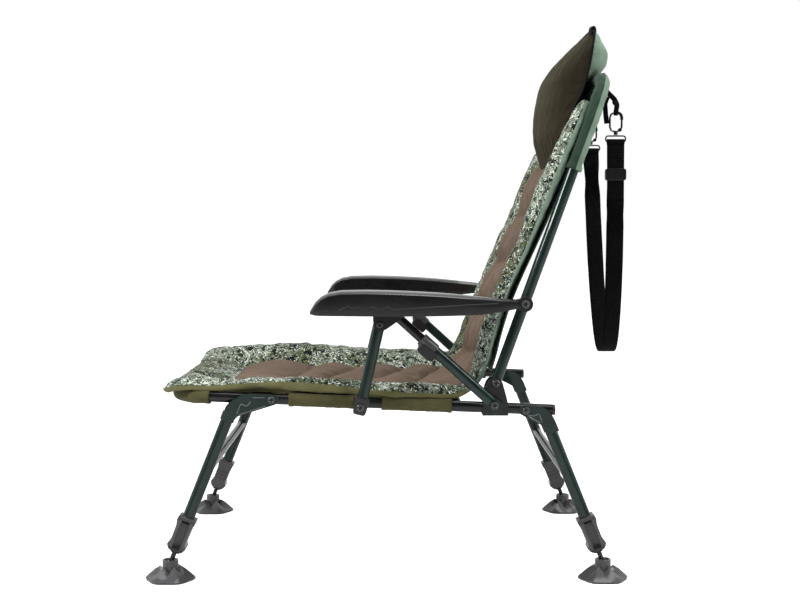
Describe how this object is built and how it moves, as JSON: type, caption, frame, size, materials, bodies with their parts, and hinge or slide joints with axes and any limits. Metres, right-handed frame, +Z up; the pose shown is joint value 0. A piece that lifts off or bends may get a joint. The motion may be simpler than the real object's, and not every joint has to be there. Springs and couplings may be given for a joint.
{
  "type": "folding carp fishing chair",
  "caption": "Folding high-back fishing chair with tube frame, quilted pad, linked armrests, reclining back, telescopic lock legs and swivel mud feet.",
  "frame": {"origin": "on the ground under the middle of the chair, at the bottom centre of its box", "axes": "+X towards the sitter's left, -Y the chair's front, +Y its rear, +Z up"},
  "size_m": [0.6386, 0.805, 0.9191],
  "materials": {
    "green_paint": "dark green gloss powder coat on thin tube",
    "black_metal": "black coated steel, satin",
    "black_plastic": "black moulded plastic, satin",
    "grey_plastic": "dark grey moulded plastic",
    "olive_cloth": "olive coated polyester",
    "sage_cloth": "light sage coated polyester",
    "camo_cloth": "padded cloth, blotched border round a brown panel",
    "brown_fleece": "dark brown brushed fleece",
    "black_webbing": "black woven webbing"
  },
  "bodies": {
    "seat_frame": {"seat_frame_tube": "green_paint", "rear_cross_tube": "green_paint", "rail_plug_left": "black_plastic", "rail_plug_right": "black_plastic", "hinge_plate_left": "black_metal", "hinge_plate_right": "black_metal", "seat_sling": "olive_cloth", "seat_mattress": "camo_cloth"},
    "backrest": {"back_frame_tube": "green_paint", "back_sling": "sage_cloth", "back_mattress": "camo_cloth", "pillow": "brown_fleece", "pillow_loop_left": "black_webbing", "pillow_loop_right": "black_webbing", "strap_tab_left": "black_webbing", "strap_tab_right": "black_webbing"},
    "carry_strap": {"strap_webbing": "black_webbing", "strap_eye_left": "black_plastic", "strap_eye_right": "black_plastic", "strap_hook_left": "black_metal", "strap_hook_right": "black_metal", "strap_slider": "black_plastic"},
    "arm_left": {"armrest_left": "black_plastic", "arm_bracket_left": "black_metal"},
    "arm_right": {"armrest_right": "black_plastic", "arm_bracket_right": "black_metal"},
    "front_strut_left": {"front_strut_tube_left": "green_paint", "front_strut_cap_left": "black_plastic"},
    "front_strut_right": {"front_strut_tube_right": "green_paint", "front_strut_cap_right": "black_plastic"},
    "recline_outer_left": {"recline_tube_left": "green_paint", "recline_clamp_left": "grey_plastic"},
    "recline_outer_right": {"recline_tube_right": "green_paint", "recline_clamp_right": "grey_plastic"},
    "recline_inner_left": {"recline_rod_left": "black_metal"},
    "recline_inner_right": {"recline_rod_right": "black_metal"},
    "recline_cam_left": {"recline_lever_left": "black_plastic"},
    "recline_cam_right": {"recline_lever_right": "black_plastic"},
    "front_legs": {"front_leg_frame": "green_paint", "front_leg_bracket_left": "green_paint", "front_leg_bracket_right": "green_paint", "front_lock_collar_left": "grey_plastic", "front_lock_collar_right": "grey_plastic"},
    "rear_legs": {"rear_leg_frame": "green_paint", "rear_leg_bracket_left": "green_paint", "rear_leg_bracket_right": "green_paint", "rear_lock_collar_left": "grey_plastic", "rear_lock_collar_right": "grey_plastic"},
    "front_cam_left": {"front_lock_lever_left": "black_plastic"},
    "front_cam_right": {"front_lock_lever_right": "black_plastic"},
    "rear_cam_left": {"rear_lock_lever_left": "black_plastic"},
    "rear_cam_right": {"rear_lock_lever_right": "black_plastic"},
    "front_extension_left": {"front_inner_leg_left": "black_metal"},
    "front_extension_right": {"front_inner_leg_right": "black_metal"},
    "rear_extension_left": {"rear_inner_leg_left": "black_metal"},
    "rear_extension_right": {"rear_inner_leg_right": "black_metal"},
    "front_mud_foot_left": {"front_foot_left": "grey_plastic"},
    "front_mud_foot_right": {"front_foot_right": "grey_plastic"},
    "rear_mud_foot_left": {"rear_foot_left": "grey_plastic"},
    "rear_mud_foot_right": {"rear_foot_right": "grey_plastic"}
  },
  "joints": [
    {"name": "back_recline", "type": "hinge", "parent": "seat_frame", "child": "backrest", "pos_m": [0, 0.1675, 0.322], "axis": [1, 0, 0], "range_deg": [-15, 68], "deforming": ["back_mattress"]},
    {"name": "arm_left_pivot", "type": "hinge", "parent": "backrest", "child": "arm_left", "pos_m": [0.275, 0.2133, 0.4503], "axis": [1, 0, 0], "range_deg": [-64, 14.2]},
    {"name": "arm_right_pivot", "type": "hinge", "parent": "backrest", "child": "arm_right", "pos_m": [-0.275, 0.2133, 0.4503], "axis": [1, 0, 0], "range_deg": [-64, 14.2]},
    {"name": "front_strut_left_pivot", "type": "hinge", "parent": "seat_frame", "child": "front_strut_left", "pos_m": [0.282, -0.0505, 0.2856], "axis": [1, 0, 0], "range_deg": [-15.1, 68.1]},
    {"name": "front_strut_right_pivot", "type": "hinge", "parent": "seat_frame", "child": "front_strut_right", "pos_m": [-0.282, -0.0505, 0.2856], "axis": [1, 0, 0], "range_deg": [-15.1, 68.1]},
    {"name": "recline_left_pivot", "type": "hinge", "parent": "seat_frame", "child": "recline_outer_left", "pos_m": [0.282, 0.1641, 0.289], "axis": [1, 0, 0], "range_deg": [-5.6, 24.8]},
    {"name": "recline_right_pivot", "type": "hinge", "parent": "seat_frame", "child": "recline_outer_right", "pos_m": [-0.282, 0.1641, 0.289], "axis": [1, 0, 0], "range_deg": [-5.6, 24.8]},
    {"name": "recline_left_slide", "type": "slide", "parent": "recline_outer_left", "child": "recline_inner_left", "axis": [0, -0.7397, 0.673], "range_m": [-0.0246, 0.1106]},
    {"name": "recline_right_slide", "type": "slide", "parent": "recline_outer_right", "child": "recline_inner_right", "axis": [0, -0.7397, 0.673], "range_m": [-0.0246, 0.1106]},
    {"name": "recline_left_lever", "type": "hinge", "parent": "recline_outer_left", "child": "recline_cam_left", "pos_m": [0.282, 0.0455, 0.3786], "axis": [-1, 0, 0], "range_deg": [0, 60]},
    {"name": "recline_right_lever", "type": "hinge", "parent": "recline_outer_right", "child": "recline_cam_right", "pos_m": [-0.282, 0.0455, 0.3786], "axis": [-1, 0, 0], "range_deg": [0, 60]},
    {"name": "front_legs_fold", "type": "hinge", "parent": "seat_frame", "child": "front_legs", "pos_m": [0, -0.194, 0.2952], "axis": [1, 0, 0], "range_deg": [0, 104]},
    {"name": "rear_legs_fold", "type": "hinge", "parent": "seat_frame", "child": "rear_legs", "pos_m": [0, 0.216, 0.278], "axis": [1, 0, 0], "range_deg": [-106, 0]},
    {"name": "front_left_lock", "type": "hinge", "parent": "front_legs", "child": "front_cam_left", "pos_m": [0.2738, -0.3343, 0.0945], "axis": [0, -0.9285, 0.3714], "range_deg": [0, 90]},
    {"name": "front_right_lock", "type": "hinge", "parent": "front_legs", "child": "front_cam_right", "pos_m": [-0.2738, -0.3343, 0.0945], "axis": [0, 0.9285, -0.3714], "range_deg": [0, 90]},
    {"name": "rear_left_lock", "type": "hinge", "parent": "rear_legs", "child": "rear_cam_left", "pos_m": [0.2738, 0.3172, 0.0945], "axis": [0, -0.9285, -0.3714], "range_deg": [0, 90]},
    {"name": "rear_right_lock", "type": "hinge", "parent": "rear_legs", "child": "rear_cam_right", "pos_m": [-0.2738, 0.3172, 0.0945], "axis": [0, 0.9285, 0.3714], "range_deg": [0, 90]},
    {"name": "front_left_extend", "type": "slide", "parent": "front_legs", "child": "front_extension_left", "axis": [0, -0.3714, -0.9285], "range_m": [0, 0.1]},
    {"name": "front_right_extend", "type": "slide", "parent": "front_legs", "child": "front_extension_right", "axis": [0, -0.3714, -0.9285], "range_m": [0, 0.1]},
    {"name": "rear_left_extend", "type": "slide", "parent": "rear_legs", "child": "rear_extension_left", "axis": [0, 0.3714, -0.9285], "range_m": [0, 0.1]},
    {"name": "rear_right_extend", "type": "slide", "parent": "rear_legs", "child": "rear_extension_right", "axis": [0, 0.3714, -0.9285], "range_m": [0, 0.1]},
    {"name": "front_left_foot_tilt", "type": "hinge", "parent": "front_extension_left", "child": "front_mud_foot_left", "pos_m": [0.258, -0.3613, 0.027], "axis": [1, 0, 0], "range_deg": [-15, 15]},
    {"name": "front_right_foot_tilt", "type": "hinge", "parent": "front_extension_right", "child": "front_mud_foot_right", "pos_m": [-0.258, -0.3613, 0.027], "axis": [1, 0, 0], "range_deg": [-15, 15]},
    {"name": "rear_left_foot_tilt", "type": "hinge", "parent": "rear_extension_left", "child": "rear_mud_foot_left", "pos_m": [0.258, 0.3442, 0.027], "axis": [1, 0, 0], "range_deg": [-15, 15]},
    {"name": "rear_right_foot_tilt", "type": "hinge", "parent": "rear_extension_right", "child": "rear_mud_foot_right", "pos_m": [-0.258, 0.3442, 0.027], "axis": [1, 0, 0], "range_deg": [-15, 15]},
    {"name": "strap_swing", "type": "hinge", "parent": "backrest", "child": "carry_strap", "pos_m": [0, 0.3828, 0.766], "axis": [1, 0, 0], "range_deg": [-15, 100], "deforming": ["strap_tab_left", "strap_tab_right"]}
  ],
  "couplings": [
    {"joint": "arm_left_pivot", "follows": "back_recline", "ratio": -0.9379},
    {"joint": "arm_right_pivot", "follows": "back_recline", "ratio": -0.9379},
    {"joint": "front_strut_left_pivot", "follows": "back_recline", "ratio": 0.9989},
    {"joint": "front_strut_right_pivot", "follows": "back_recline", "ratio": 0.9989},
    {"joint": "recline_left_pivot", "follows": "back_recline", "ratio": 0.3612},
    {"joint": "recline_right_pivot", "follows": "back_recline", "ratio": 0.3612},
    {"joint": "recline_left_slide", "follows": "back_recline", "m_per_rad": 0.09278},
    {"joint": "recline_right_slide", "follows": "back_recline", "m_per_rad": 0.09278}
  ]
}
